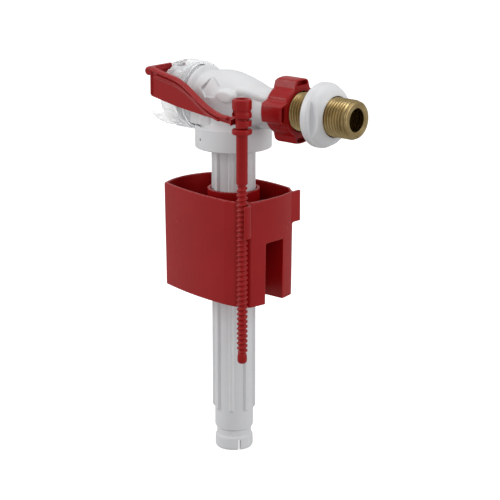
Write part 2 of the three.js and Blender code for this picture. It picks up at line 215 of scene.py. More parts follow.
def screw(start, end, pitch, root, crest, tooth, columns, rows, fade):
    """A solid screw along Z. Each grid line is a helix, so the tooth keeps its exact profile."""
    lines = np.arange(-rows, int((end - start) / pitch * rows) + rows + 3)
    column = np.arange(columns)
    height = start + pitch * (lines[:, None] / rows + column[None, :] / columns)
    run_in = np.clip((height - start) / fade, 0, 1) * np.clip((end - height) / fade, 0, 1)
    radius = root + (crest - root) * tooth((lines % rows) / rows)[:, None] * run_in
    angle = 2 * math.pi * column / columns
    height = np.clip(height, start, end)
    points = np.stack([radius * np.cos(angle), radius * np.sin(angle), height], -1)
    faces = []
    for i in range(len(lines) - 1):
        for j in range(columns):
            if j < columns - 1:
                beside = [i * columns + j + 1, (i + 1) * columns + j + 1]
            elif i + 1 + rows < len(lines):
                beside = [(i + rows) * columns, (i + 1 + rows) * columns]
            else:
                continue
            faces.append([i * columns + j, beside[0], beside[1], (i + 1) * columns + j])
    return closed_mesh(points.reshape(-1, 3).tolist(), faces)


def evaluated(mesh, modifiers):
    """The mesh after a list of (type, settings) modifiers."""
    holder = bpy.data.objects.new("draft", mesh)
    bpy.context.scene.collection.objects.link(holder)
    for kind, settings in modifiers:
        modifier = holder.modifiers.new(kind, kind)
        for key, value in settings.items():
            setattr(modifier, key, value)
    bpy.context.view_layer.update()
    graph = bpy.context.evaluated_depsgraph_get()
    result = bpy.data.meshes.new_from_object(holder.evaluated_get(graph))
    bpy.data.objects.remove(holder)
    return result


def combined(operation, base, tools):
    """The base mesh after a UNION with, DIFFERENCE from or INTERSECT with each of the tools."""
    holders = []
    for tool in tools:
        holder = bpy.data.objects.new("tool", tool)
        bpy.context.scene.collection.objects.link(holder)
        holders.append(holder)
    steps = [
        ("BOOLEAN", {"operation": operation, "solver": "MANIFOLD", "object": holder})
        for holder in holders
    ]
    result = evaluated(base, steps)
    for holder in holders:
        bpy.data.objects.remove(holder)
    return result


def join(base, *tools):
    return combined("UNION", base, tools)


def cut(base, *tools):
    return combined("DIFFERENCE", base, tools)


def common(base, *tools):
    return combined("INTERSECT", base, tools)


def moulded(mesh, voxel, smoothing=3, keep=0.5):
    """The mesh with the softened edges of a moulding: remeshed finely, eased and then thinned."""
    return evaluated(mesh, [
        ("REMESH", {"mode": "VOXEL", "voxel_size": voxel, "use_smooth_shade": True}),
        ("SMOOTH", {"factor": 0.5, "iterations": smoothing}),
        ("DECIMATE", {"ratio": keep}),
    ])


# ---- Materials ----


class Nodes:
    """A new material whose nodes are added and joined by short calls."""

    def __init__(self, name):
        self.material = bpy.data.materials.new(name)
        self.material.use_nodes = True
        self.tree = self.material.node_tree
        self.shader = self.tree.nodes["Principled BSDF"]
        self.place = self.add("ShaderNodeTexCoord").outputs["Object"]

    def add(self, kind, settings=None, inputs=None):
        node = self.tree.nodes.new(kind)
        for key, value in (settings or {}).items():
            setattr(node, key, value)
        for key, value in (inputs or {}).items():
            self.put(node.inputs[key], value)
        return node

    def put(self, socket, value):
        if isinstance(value, bpy.types.NodeSocket):
            self.tree.links.new(value, socket)
        else:
            socket.default_value = value

    def math(self, operation, a, b=0.0):
        return self.add("ShaderNodeMath", {"operation": operation}, {0: a, 1: b}).outputs[0]

    def noise(self, scale, detail=2.0, roughness=0.5, vector=None):
        inputs = {"Scale": scale, "Detail": detail, "Roughness": roughness,
                  "Vector": vector or self.place}
        return self.add("ShaderNodeTexNoise", None, inputs).outputs["Fac"]

    def between(self, factor, low, high):
        """The factor stretched to run from low to high."""
        inputs = {"Value": factor, "From Min": 0.3, "From Max": 0.7, "To Min": low, "To Max": high}
        return self.add("ShaderNodeMapRange", None, inputs).outputs["Result"]

    def blend(self, factor, first, second):
        node = self.add("ShaderNodeMix", {"data_type": "RGBA"}, {0: factor})
        self.put(node.inputs[6], first)
        self.put(node.inputs[7], second)
        return node.outputs[2]

    def bump(self, height, strength, distance):
        inputs = {"Height": height, "Strength": strength, "Distance": distance}
        node = self.add("ShaderNodeBump", None, inputs)
        self.put(self.shader.inputs["Normal"], node.outputs["Normal"])

    def set(self, **values):
        for key, value in values.items():
            self.put(self.shader.inputs[key.replace("_", " ")], value)
        return self.material


def tone(red, green, blue):
    """An sRGB colour of 0 to 255 as linear RGBA."""
    linear = [((c / 255 + 0.055) / 1.055) ** 2.4 if c > 10 else c / 3295 for c in (red, green, blue)]
    return (*linear, 1.0)


def plastic(name, colour, second, edge, roughness, grain, shine=0.5):
    """Moulded plastic: two close tones in slow swirls, a painted highlight that makes the sharp edges paler,
    and a fine etched grain.
    """
    n = Nodes(name)
    swirl = n.between(n.noise(38, 3, 0.55), 0, 1)
    flow = n.between(n.noise(160, 2), 0, 0.35)
    body = n.blend(n.math("ADD", n.math("MULTIPLY", swirl, 0.65), flow), colour, second)
    pointed = n.add("ShaderNodeNewGeometry").outputs["Pointiness"]
    # Painted highlight: where pointiness finds a sharp edge, the colour blends towards the paler edge tone.
    painted_highlight = n.add("ShaderNodeMapRange", None, {
        "Value": pointed, "From Min": 0.515, "From Max": 0.6, "To Min": 0, "To Max": 0.55,
    }).outputs["Result"]
    n.bump(n.noise(2600, 3, 0.6), grain, 0.00006)
    return n.set(
        Base_Color=n.blend(painted_highlight, body, edge),
        Roughness=n.between(n.noise(420, 3), roughness - 0.05, roughness + 0.07),
        Subsurface_Weight=0.04,
        Subsurface_Radius=(0.002, 0.001, 0.0008),
        Subsurface_Scale=1.0,
        Specular_IOR_Level=shine,
    )


def clear_plastic():
    """Clear plastic, slightly milky in slow clouds, with a soft surface ripple. It bends light less
    than the real plastic, so that the parts behind it stay readable."""
    n = Nodes("clear_plastic")
    cloud = n.between(n.noise(70, 3), 0, 1)
    n.bump(n.noise(240, 2), 0.05, 0.0002)
    return n.set(
        Base_Color=n.blend(cloud, tone(255, 255, 255), tone(249, 251, 252)),
        Roughness=n.between(n.noise(300, 2), 0.03, 0.09),
        Transmission_Weight=n.between(cloud, 0.72, 0.58),
        IOR=1.12,
    )


def turned_brass():
    """Machined brass: fine tool marks round the inlet axis, over slow yellow and brown tones."""
    n = Nodes("turned_brass")
    split = n.add("ShaderNodeSeparateXYZ", None, {0: n.place})
    x, y, z = split.outputs
    away = n.math("SQRT", n.math("ADD", n.math("MULTIPLY", y, y), n.math("MULTIPLY", z, z)))
    marks_at = n.add("ShaderNodeCombineXYZ", None, {0: x, 1: away, 2: n.math("MULTIPLY", y, 0.01)})
    marks = n.noise(3200, 3, 0.6, marks_at.outputs[0])
    stain = n.between(n.noise(120, 4, 0.6), 0, 1)
    n.bump(marks, 0.3, 0.00005)
    return n.set(
        Base_Color=n.blend(stain, tone(194, 172, 124), tone(146, 122, 80)),
        Metallic=1.0,
        Roughness=n.between(marks, 0.2, 0.36),
    )


def rubber():
    """Moulded black rubber with a dusty bloom."""
    n = Nodes("black_rubber")
    bloom = n.between(n.noise(90, 4, 0.6), 0, 1)
    n.bump(n.noise(1800, 3), 0.4, 0.00006)
    return n.set(
        Base_Color=n.blend(bloom, tone(30, 30, 32), tone(52, 52, 55)),
        Roughness=n.between(bloom, 0.55, 0.75),
    )


def steel():
    """Drawn stainless wire with scratches along Y, the length of the pivot wire."""
    n = Nodes("steel")
    along = n.add("ShaderNodeMapping", None, {"Vector": n.place, "Scale": (1, 0.05, 1)})
    scratches = n.noise(2500, 2, 0.5, along.outputs[0])
    n.bump(scratches, 0.2, 0.00003)
    return n.set(
        Base_Color=n.blend(scratches, tone(196, 198, 201), tone(150, 152, 156)),
        Metallic=1.0,
        Roughness=n.between(scratches, 0.2, 0.36),
    )


# The third tone of each plastic is the paler colour of its painted edge highlight.
WHITE = plastic("white_plastic", tone(229, 230, 231), tone(222, 223, 225), tone(244, 245, 246),
                roughness=0.36, grain=0.12)
RED = plastic("red_plastic", tone(152, 12, 15), tone(161, 17, 19), tone(192, 60, 56),
              roughness=0.33, grain=0.3, shine=0.25)
GREY = plastic("grey_plastic", tone(188, 190, 192), tone(176, 178, 180), tone(215, 215, 216),
               roughness=0.45, grain=0.3)
CLEAR = clear_plastic()
BRASS = turned_brass()
RUBBER = rubber()
STEEL = steel()


def show(name, mesh, body, material, *nodes, crease=35):
    """Puts a finished mesh in the row frame as a piece that stands for CAD nodes of one body."""
    mesh.transform(TO_ROW_FRAME)
    mesh.shade_smooth()
    mesh.set_sharp_from_angle(angle=math.radians(crease))
    mesh.materials.clear()
    mesh.materials.append(material)
    piece = bpy.data.objects.new(name, mesh)
    bpy.context.scene.collection.objects.link(piece)
    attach(piece, body)
    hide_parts(*nodes)
    return piece


# ---- Down tube and foot ----

TUBE_R = 10.7
TUBE_BORE_R = 9.3
RIB_R = 12.1
RIB_COUNT = 8
RIB_TURN = -0.19
RIB_HALF_WIDTH = 0.8
tube_low, tube_high = extent("down_tube")
COLLAR_R = (tube_high.y - tube_low.y) / 2
COLLAR_TOP = tube_high.z
COLLAR_BOTTOM = -25.3
COLLAR_BORE_R = 19.1
COLLAR_FLOOR = -22.8
RIB_END = -174


def tube_angles():
    """Angles round the tube, closer together at the sides of each rib."""
    half = RIB_HALF_WIDTH / TUBE_R
    across = (-1.9, -1.35, -1, -0.7, -0.3, 0.3, 0.7, 1, 1.35, 1.9, 3.4, 5, 6.6, 8.2)
    offsets = [k * half for k in across]
    return np.array([
        RIB_TURN + 2 * math.pi * i / RIB_COUNT + offset for i in range(RIB_COUNT) for offset in offsets
    ])


def rib_pattern(angle, height, radius):
    """The tube's radius with its long ribs, which ease in at their sides and slope off at the end."""
    spacing = 2 * math.pi / RIB_COUNT
    away = np.abs((angle - RIB_TURN + spacing / 2) % spacing - spacing / 2) * TUBE_R
    root_half_width, side_width = 1.5, 0.75
    across = np.clip((root_half_width - away) / side_width, 0, 1)
    across = across * across * (3 - 2 * across)
    end_start, end_length = RIB_END - 1.4, 1.8
    along = np.clip((height - end_start) / end_length, 0, 1)
    outside = np.abs(radius - TUBE_R) < 0.02
    return radius + np.where(outside, (RIB_R - TUBE_R) * across * along, 0)


def down_tube():
    bottom = tube_low.z
    outline = [
        (TUBE_BORE_R, bottom), (10.2, bottom), (TUBE_R, bottom + 1.2),
        *[(TUBE_R, RIB_END + offset) for offset in (-3, -1.4, -0.9, -0.4, 0, 0.4, 3)],
        *[(TUBE_R, height) for height in (-140, -110, -80, -50)],
        (TUBE_R, COLLAR_BOTTOM - 0.9), (11.3, COLLAR_BOTTOM),
        *rounded([(15, COLLAR_BOTTOM), (COLLAR_R, COLLAR_BOTTOM), (COLLAR_R, COLLAR_TOP),
                  (COLLAR_BORE_R, COLLAR_TOP), (COLLAR_BORE_R, COLLAR_FLOOR),
                  (15, COLLAR_FLOOR)], 0.7, 4)[4:-4],
        (TUBE_BORE_R, COLLAR_FLOOR),
    ]
    tube = turned(outline, angles=tube_angles(), shape=rib_pattern)
    window_turn = 1.283
    window = cylinder(0.85, -23, -15, "X", 24, (0, -19.6))
    window.transform(Matrix.Rotation(window_turn, 4, "Z"))
    gate_turn = math.radians(-66)
    gate = turned(rounded([(0, 10), (0.55, 10), (0.4, 10.95), (0, 10.95)], 0.15), "X", 20, (0, -176.6))
    gate.transform(Matrix.Rotation(gate_turn, 4, "Z"))
    return join(cut(tube, window), gate)


def foot_ring():
    low, high = extent("foot_ring")
    outer = (high.y - low.y) / 2
    outline = [
        (8, low.z), (9.7, low.z), (outer, low.z + 1.2), (outer, -191.2), (10.35, -190.6),
        (9.75, -190.2), (9.6, -187.4), (9.6, -186.4), (8.9, -186.3), (8.9, high.z), (8, high.z),
    ]
    band = turned(rounded(outline, 0.25), steps=120)
    first_slot, pair_count, step_back = -0.54, 3, 0.75
    slots = []
    for i in range(pair_count):
        turn = first_slot + 2 * math.pi * i / pair_count
        slots.append(block((6, 12), (-0.75, 0.75), (low.z - 1, -191.8), turn))
        slots.append(block((9.2, 12), (1.6, 2.9), (-189.6, -187.6), turn - step_back))
    return moulded(cut(band, *slots), voxel=0.22, smoothing=2)


show("tube_shell", down_tube(), "valve_body", WHITE, "down_tube")
show("foot_shell", foot_ring(), "valve_body", WHITE, "foot_ring")


# ---- Valve head ----

def facet_tool():
    """Cuts the flat, five-sided facet behind the cap ring, on the side towards the lever."""
    rim = np.array([
        (-7.2, -8, 13.7), (-11.6, -13.6, 7.3), (-6.4, -15.8, 3.1), (0, -15.6, 3.9), (1.6, -12.8, 9.3),
    ])
    facing = np.array((-0.1, -0.87, 0.48))
    from_centre = 14.9
    along = np.array((0.5, -0.8, 0.3))
    past_surface = 5
    depth = (rim @ facing - from_centre) / (along @ facing)
    return skinned(np.stack([rim - depth[:, None] * along, rim + past_surface * along]))


def valve_head():
    """The dome, its chamber rings, the skirt inside the collar and the neck that holds the tail."""
    neck_r, neck_end = 9.9, extent("valve_head")[1].x
    dome = turned(rounded([
        (0, -25.8), (16.3, -25.8), (16.3, -22.6), (14.4, -22.4), (14.4, -21.6), (17.1, -21.3),
        (17.1, -18.9), (14.4, -17.5), (15.5, -11.5), (16.3, -4.3), (15.9, 1.6), (14.3, 9.1),
        (12.2, 16.6), (10.4, 21.6), (neck_r, 24), (neck_r, 31.6), (neck_r - 0.6, neck_end), (0, neck_end),
    ], 1.2, 5), "X", 128)
    skirt = turned(rounded([
        (0, -22.3), (18.6, -22.3), (18.6, -13.4), (17.3, -12), (16.7, -10.9), (15.4, -2), (0, -2),
    ], 0.6, 4), steps=128)
    spout = cylinder(8.9, -30.9, -22)
    stop_block = block((-16.9, -8), (-16.5, -10), (-12.5, -2))
    post = block((-9.6, -2.2), (-17.2, -9), (-12.4, -7.2))
    boss = turned(rounded([(0, -16.5), (5.4, -16.3), (7.1, -14.6), (7.4, -9), (0, -9)], 1.2, 5), "Y", 64)
    boss.transform(Matrix.Translation((7.2, 0, 5)) @ Matrix.Diagonal((1, 1, 0.52, 1)))
    ridge = bead([(13, -10.2, 8.2), (17, -9.8, 7.9), (22, -8.9, 7), (28, -8.2, 6), (32, -8, 5.6)], 2.3)
    under_web = block((10, 31), (-1.4, 1.4), (-12.4, -6))
    whole = join(dome, skirt, spout, stop_block, post, boss, ridge, under_web)
    chamber_r = 11.2
    outlet = cylinder(6.6, -40, -15)
    tail_socket = cylinder(8.7, 19, 60, "X")
    chamber = turned([(6.2, -28), (chamber_r, -28), (chamber_r, -12.5), (6.2, -12.5)], "X")
    seat_bore = cylinder(4.2, -30, 4, "X")
    seat_recess = cylinder(chamber_r, -40, -24, "X")
    collar_gap = turned([(18.75, -30), (21.4, -30), (21.4, -12.8), (18.75, -12.8)])
    bores = [outlet, tail_socket, chamber, seat_bore, seat_recess, collar_gap, facet_tool()]
    return moulded(cut(whole, *bores), voxel=0.36, smoothing=4)


show("head_shell", valve_head(), "valve_body", WHITE, "valve_head")


# ---- Inlet: tail, seals, strainer and nuts ----

THREAD_R = 10.478
THREAD_ROOT_R = 9.32
THREAD_PITCH = 1.814
NUT_BORE_R = 10.85
WASHER_BORE_R = 10.9
tail_low, tail_high = extent("brass_tail")
lobed_low, lobed_high = extent("lobed_nut")
flanged_low, flanged_high = extent("flanged_nut")
TURN_TO_X = Matrix.Rotation(math.pi / 2, 4, "Y")


def pipe_tooth(phase):
    """A Whitworth form: straight flanks with rounded crest and root."""
    flank = np.abs(2 * phase - 1)
    return np.clip(1.25 * (flank - 0.5) + 0.5, 0, 1)


def rod_tooth(phase):
    """A soft, rounded tooth a little narrower than its gap."""
    wave = 0.5 - 0.5 * np.cos(2 * np.pi * phase)
    return wave**1.2


def brass_tail():
    left, right = tail_low.x, tail_high.x
    shoulder, thread_start, thread_end = 33.6, 36.5, right - 0.9
    stub = turned(rounded([
        (0, left), (8.2, left), (8.2, 23), (6.6, 23), (6.6, 25.6), (8.2, 25.6), (8.2, shoulder),
        (9.6, shoulder), (9.6, thread_start + 1), (0, thread_start + 1),
    ], 0.25), "X")
    nose = turned(rounded([
        (0, thread_end - 1), (THREAD_ROOT_R, thread_end - 1), (9.9, thread_end - 0.1),
        (9.9, right - 0.6), (9.3, right), (0, right),
    ], 0.35, 4), "X", 128)
    crest_r = THREAD_R - 0.03
    thread = screw(thread_start, thread_end, THREAD_PITCH, THREAD_ROOT_R, crest_r, pipe_tooth,
                   columns=96, rows=10, fade=1)
    thread.transform(TURN_TO_X)
    bore = turned(rounded([
        (0, 10), (6.05, 10), (6.05, right - 0.5), (6.9, right + 0.4), (0, right + 0.4),
    ], 0.2), "X")
    return cut(join(thread, stub, nose), bore)


def strainer():
    cup = turned(rounded([
        (0, 52.1), (4.2, 52.1), (5.1, 66), (5.6, 66.1), (5.6, 67.9), (4.3, 67.9), (3.4, 53), (0, 53),
    ], 0.25), "X", 64)
    windows = []
    for i in range(8):
        for start in (54.2, 57.8, 61.4):
            windows.append(block((start, start + 2.8), (-0.8, 0.8), (2, 7), 2 * math.pi * i / 8, "X"))
    return cut(cup, *windows)


def lobed_nut():
    """A hand nut with four lobes, each hollow behind, and two shallow grooves in each dip between."""
    left, right = lobed_low.x, lobed_high.x
    core = turned(rounded([
        (0, left), (13.1, left), (13.9, left + 1.5), (13.9, right - 1.2), (13.2, right), (0, right),
    ], 0.6, 4), "X", 128)
    lobe_count, lobe_r, pocket_start = 4, 17.42, 45.6
    groove_turns, groove_r, groove_size = (1.01, 0.56), 14.35, 0.75
    lobes, pockets, grooves = [], [], []
    for i in range(lobe_count):
        turn = Matrix.Rotation(2 * math.pi * i / lobe_count, 4, "X")
        lobe = prism(rounded([
            (-6.4, 11), (-4.7, 16.6), (-3.9, lobe_r), (3.9, lobe_r), (4.7, 16.6), (6.4, 11),
        ], 0.9, 4), "X", left, right)
        envelope = turned(rounded([
            (0, left), (16.3, left), (lobe_r, left + 1.6), (lobe_r, right - 1.2), (17.0, right - 0.25),
            (0, right - 0.25),
        ], 0.6, 4), "X", 128)
        lobe.transform(turn)
        lobes.append(common(lobe, envelope))
        pocket = prism(rounded([(-4.1, 14.1), (-3.6, 16.3), (3.6, 16.3), (4.1, 14.1)], 0.5),
                       "X", pocket_start, right + 2)
        pocket.transform(turn)
        pockets.append(pocket)
        for groove_turn in groove_turns:
            groove = bead([(left + 2.5, 0, groove_r), (right - 2.5, 0, groove_r)], groove_size)
            groove.transform(Matrix.Rotation(2 * math.pi * i / lobe_count + groove_turn, 4, "X"))
            grooves.append(groove)
    bore = cylinder(NUT_BORE_R, 20, 70, "X", 128)
    seal_groove = turned([(10, 43.2), (12.9, 43.2), (12.9, 45.8), (10, 45.8)], "X", 128)
    return moulded(cut(join(core, *lobes), *pockets, *grooves, bore, seal_groove), voxel=0.28)


def flanged_nut():
    """A back nut with a round flange and a domed body with two flats for a spanner."""
    left, right = flanged_low.x, flanged_high.x
    body = turned(rounded([
        (0, left), (16.7, left), (17.35, left + 0.7), (17.35, left + 4.1), (16.75, left + 4.75),
        (15.65, left + 7.4), (13.95, left + 9.4), (11.6, right - 0.05), (0, right - 0.05),
    ], 0.6, 4), "X", 160)
    flat_at = 13.45
    flats = [block((left + 4.95, left + 20), (side * flat_at, side * 26), (-20, 20)) for side in (1, -1)]
    bore = cylinder(NUT_BORE_R, 20, 90, "X", 128)
    recess = cylinder(13.8, left - 1, left + 1.6, "X", 128)
    return moulded(cut(body, *flats, bore, recess), voxel=0.28)


def washer(node, axis, bore_r):
    """A flat washer as large as its CAD node, with soft edges."""
    low, high = extent(node)
    index = "XYZ".index(axis)
    outer = (high[(index + 1) % 3] - low[(index + 1) % 3]) / 2
    centre = (high + low) / 2
    flat = [centre[k] for k in range(3) if k != index]
    outline = [(bore_r, low[index]), (outer, low[index]), (outer, high[index]), (bore_r, high[index])]
    return turned(rounded(outline, 0.3, 4), axis, 128, flat)


def cord_ring(node, axis):
    """An O-ring that fills its CAD node."""
    low, high = extent(node)
    index = "XYZ".index(axis)
    radius = (high[index] - low[index]) / 2
    outer = (high[(index + 1) % 3] - low[(index + 1) % 3]) / 2
    middle = (high[index] + low[index]) / 2
    return turned(circle(radius, (outer - radius, middle), 20), axis, 96)


show("tail_brass", brass_tail(), "valve_body", BRASS, "brass_tail")
show("tail_seal", cord_ring("tail_o_ring", "X"), "valve_body", RUBBER, "tail_o_ring")
show("tube_seal", cord_ring("tube_o_ring", "Z"), "valve_body", RUBBER, "tube_o_ring")
show("strainer_cup", strainer(), "valve_body", GREY, "inlet_strainer")
show("hand_nut", lobed_nut(), "lobed_nut", RED, "lobed_nut")
show("back_nut", flanged_nut(), "flanged_nut", WHITE, "flanged_nut")
show("wall_washer", washer("wall_seal", "X", WASHER_BORE_R), "wall_seal", RUBBER, "wall_seal")
show("nut_washer", washer("backnut_washer", "X", WASHER_BORE_R), "backnut_washer", GREY, "backnut_washer")


# ---- Clear cap, diaphragm and pilot parts ----

cap_high = extent("clear_cap")[1]
pin_low, pin_high = extent("lever_pin")
CAP_R = 18.5
CAP_GRIP_R = 19.05
CAP_FACE = -38
CAP_END = cap_high.x
PILOT_Z = 3
PIN_HOLE_R = 1.4
pivot = (pin_low + pin_high) / 2


def clear_cap():
    """The screw-on cap: a hollow drum with grips, bayonet slots, a chin below and the lever's ear."""
    drum = turned(rounded([
        (0, CAP_FACE), (17.3, CAP_FACE), (CAP_R, CAP_FACE + 1.6), (CAP_R, -26.6), (CAP_GRIP_R - 0.1, -26.2),
        (CAP_GRIP_R - 0.1, -24.9), (CAP_R, -24.5), (CAP_R, CAP_END), (17.25, CAP_END), (17.25, -27.95),
        (15, -27.95), (15, -35.5), (0, -35.5),
    ], 0.5, 4), "X", 160)
    grip_count, spoke_count, slot_turns = 12, 6, (20, 140, 260)
    grips = [
        block((-36.8, -27), (-1.7, 1.7), (17.8, CAP_GRIP_R - 0.12),
              2 * math.pi * (i + 0.5) / grip_count, "X")
        for i in range(grip_count)
    ]
    spokes = [
        block((CAP_FACE - 0.8, CAP_FACE + 0.5), (-0.6, 0.6), (5, 16.8),
              2 * math.pi * (i + 0.5) / spoke_count, "X")
        for i in range(spoke_count)
    ]
    chin_shell = turned(rounded([
        (16.9, -48.4), (17.6, -48.4), (CAP_R, -44), (CAP_R, -36), (16.6, -36),
    ], 0.3), "X", 128)
    chin = common(chin_shell, block((-50, -30), (-14, 14), (-20, -5)))
    nozzle = turned(rounded([(0, -38.75), (1.1, -38.75), (1.4, -38), (1.4, -37), (0, -37)], 0.15),
                    "X", 32, (0, PILOT_Z))
    nozzle_boss = turned(rounded([(0, -38.3), (3, -38.3), (3.4, -37), (0, -37)], 0.2), "X", 48, (0, PILOT_Z))
    ear = join(
        block((pivot.x, -37), (-4.45, 4.45), (pivot.z - 2.55, pivot.z + 2.55)),
        cylinder(2.6, -4.45, 4.45, "Y", 48, (pivot.z, pivot.x)),
    )
    ear_slot = block((-46, -38.6), (-1.6, 1.6), (pivot.z - 4, pivot.z + 4))
    pin_hole = cylinder(PIN_HOLE_R, -12, 12, "Y", 32, (pivot.z, pivot.x))
    pilot_hole = cylinder(0.55, -45, -30, "X", 24, (0, PILOT_Z))
    slots = [block((-34.5, -28.6), (-2.6, 2.6), (15.6, 20), math.radians(turn), "X") for turn in slot_turns]
    whole = join(drum, *grips, *spokes, chin, nozzle, nozzle_boss, cut(ear, ear_slot))
    return moulded(cut(whole, pilot_hole, pin_hole, *slots), voxel=0.3)


def diaphragm():
    disc = turned(rounded([
        (3.4, -27.8), (10.5, -27.8), (11.6, -28.8), (12.7, -27.8), (14.4, -27.6), (16.8, -27.6),
        (16.8, -26.2), (14.4, -26.2), (12.6, -26.9), (11.6, -27.9), (10.6, -26.9), (3.4, -26.9),
    ], 0.35, 4), "X", 96)
    return cut(disc, cylinder(0.9, -30, -20, "X", 24, (0, -9.5)))


def diaphragm_core():
    low, high = extent("diaphragm_core")
    return turned(rounded([
        (0, low.x), (7, low.x), (7, -28.9), (3, -28.9), (3, -26), (5.8, -26), (5.8, high.x), (0, high.x),
    ], 0.3, 4), "X", 64)


def bleed_pin():
    low, high = extent("bleed_pin")
    return turned(rounded([
        (0, low.x), (1.4, low.x), (1.4, low.x + 0.9), (0.5, low.x + 0.9), (0.5, high.x), (0, high.x),
    ], 0.15), "X", 32, (0, (low.z + high.z) / 2))


def headed_pin():
    low, high = extent("lever_pin")
    radius = (high.z - low.z) / 2
    return turned(rounded([(0, low.y), (radius, low.y), (radius, high.y), (0, high.y)], 0.25), "Y", 32,
                  (pivot.z, pivot.x))


def pilot_pad():
    low, high = extent("pilot_pad")
    return turned(rounded([(0, low.x), (2.4, low.x), (2.4, high.x), (0, high.x)], 0.15), "X", 48,
                  (0, PILOT_Z))


show("cap_shell", clear_cap(), "valve_body", CLEAR, "clear_cap")
show("diaphragm_disc", diaphragm(), "valve_body", RUBBER, "diaphragm")
show("seal_core", diaphragm_core(), "diaphragm_core", GREY, "diaphragm_core")
show("bleed_wire", bleed_pin(), "valve_body", STEEL, "bleed_pin")
show("pivot_wire", headed_pin(), "valve_body", STEEL, "lever_pin")
show("nozzle_pad", pilot_pad(), "lever", RUBBER, "pilot_pad")


# ---- Lever ----

lever_high = extent("lever")[1]
rod_low, rod_high = extent("adjusting_rod")
bush_low, bush_high = extent("rod_bush")
ROD_X = (rod_low.x + rod_high.x) / 2
ROD_Y = (rod_low.y + rod_high.y) / 2
WALL = 1.7
ARM_CORNER = Vector((-42, -21.2))
ARM_TURN = math.atan2(-10.1, 72)
ARM_LENGTH = 72.2
TOP_EDGE = [
    (-2, 16.45), (1.5, 16.35), (8, 15.2), (14.6, 14.3), (22.1, 13.2), (29.5, 10.9), (36.9, 7.3), (44.2, 3.6),
    (51.4, 0.6), (58.6, -1.15), (65.7, -1.55), (71.6, -1.6),
]


def on_arm(along, height, out):
    """A point on the lever's long arm: along it, up, and out from its outer face."""
    direction = Vector((math.cos(ARM_TURN), math.sin(ARM_TURN)))
    across = Vector((direction.y, -direction.x))
    flat = ARM_CORNER + direction * along + across * out
    return (flat.x, flat.y, height)


def arm_wall():
    """The arm's wall and the end wall in one strip, with the round corner between them."""
    left, back = -43.2, lever_high.y
    outer = [(left, back), (left, -18.4), (left + 0.5, -20.1), (left + 1.7, -21.2),
             (left + 3.4, ARM_CORNER.y - 0.35)]
    far = on_arm(ARM_LENGTH, 0, 0)
    near = on_arm(ARM_LENGTH, 0, -WALL)
    inner = [near[:2], (-38.6, -19.9), (-40.2, -19.4), (-41.2, -17.6), (-41.2, back)]
    plan = rounded([*outer, far[:2], *inner], 0.8, 4)
    strip = prism(plan, "Z", -7, 18)
    top = curve_through(TOP_EDGE)
    sides = [(on_arm(along, height, 0)[0], height) for along, height in top]
    underside = [on_arm(along, height, 0) for along, height in
                 [(72.3, -5.1), (70, -5.35), (66.2, -5.5), (23.2, -2.6), (0, 0.3), (-3, 0.45)]]
    profile = [*sides, *[(point[0], point[2]) for point in underside]]
    mask = prism([(height, along) for along, height in profile], "Y", -40, 30)
    return common(strip, mask)


def lever():
    wall = arm_wall()
    rail_path = [on_arm(along, height - 1.05, 0.55) for along, height in curve_through(TOP_EDGE[:-1])[6:]]
    lower_path = [on_arm(along, height - 3.5, 0.3) for along, height in curve_through(TOP_EDGE[:-2])[14:]]
    rail = bead(rail_path, 1.05)
    lower_rail = bead(lower_path, 0.75)
    grooved = curve_through(TOP_EDGE[:-2])[10:]
    grooves = [
        bead([on_arm(along, height - drop, 0.1) for along, height in grooved], 0.42) for drop in (2.4, 4.7)
    ]
    column = bead([on_arm(1.4, 1.6, 0.2), on_arm(1.4, 8, 0.2), on_arm(1.4, 14.6, 0.2)], 0.8)
    back = lever_high.y
    barrel = turned(rounded([(0, -20.85), (2.45, -20.85), (2.45, back), (0, back)], 0.5, 4), "Y", 48,
                    (pivot.z, pivot.x))
    knob = turned(rounded([(0, -22.3), (2.0, -22.3), (2.45, -21.4), (2.45, -19), (0, -19)], 0.4, 4), "Y", 48,
                  (pivot.z, pivot.x + 0.25))
    bottom, top = -4.8, -1.6
    clip_r, clip_bore_r, slack = 5.15, 3.7, 1.5

    def stadium(radius):
        right = arc(radius, -90, 90, 16)
        left = arc(radius, 90, 270, 16, (-slack, 0))
        return [(x + ROD_X, y + ROD_Y) for x, y in right + left]

    clip = cut(
        prism(stadium(clip_r), "Z", bottom, top),
        prism(stadium(clip_bore_r), "Z", bottom - 1, top + 1),
        block((ROD_X - slack - 2.6, ROD_X + 2.6), (ROD_Y - 8, ROD_Y - 1.2), (bottom - 1, top + 1)),
    )
    ear_slot = block((-50, -36), (-4.9, 4.9), (pivot.z - 3.4, 22))
    pin_bore = cylinder(PIN_HOLE_R, -19.4, pin_high.y + 0.4, "Y", 32, (pivot.z, pivot.x))
    whole = join(wall, rail, lower_rail, column, barrel, knob, clip)
    return moulded(cut(whole, ear_slot, pin_bore, *grooves), voxel=0.26, smoothing=1)


show("lever_arm", lever(), "lever", RED, "lever")


# ---- Adjusting rod ----

ROD_PITCH = 2.7
ROD_ROOT_R = 2.1
ROD_CREST_R = 2.98


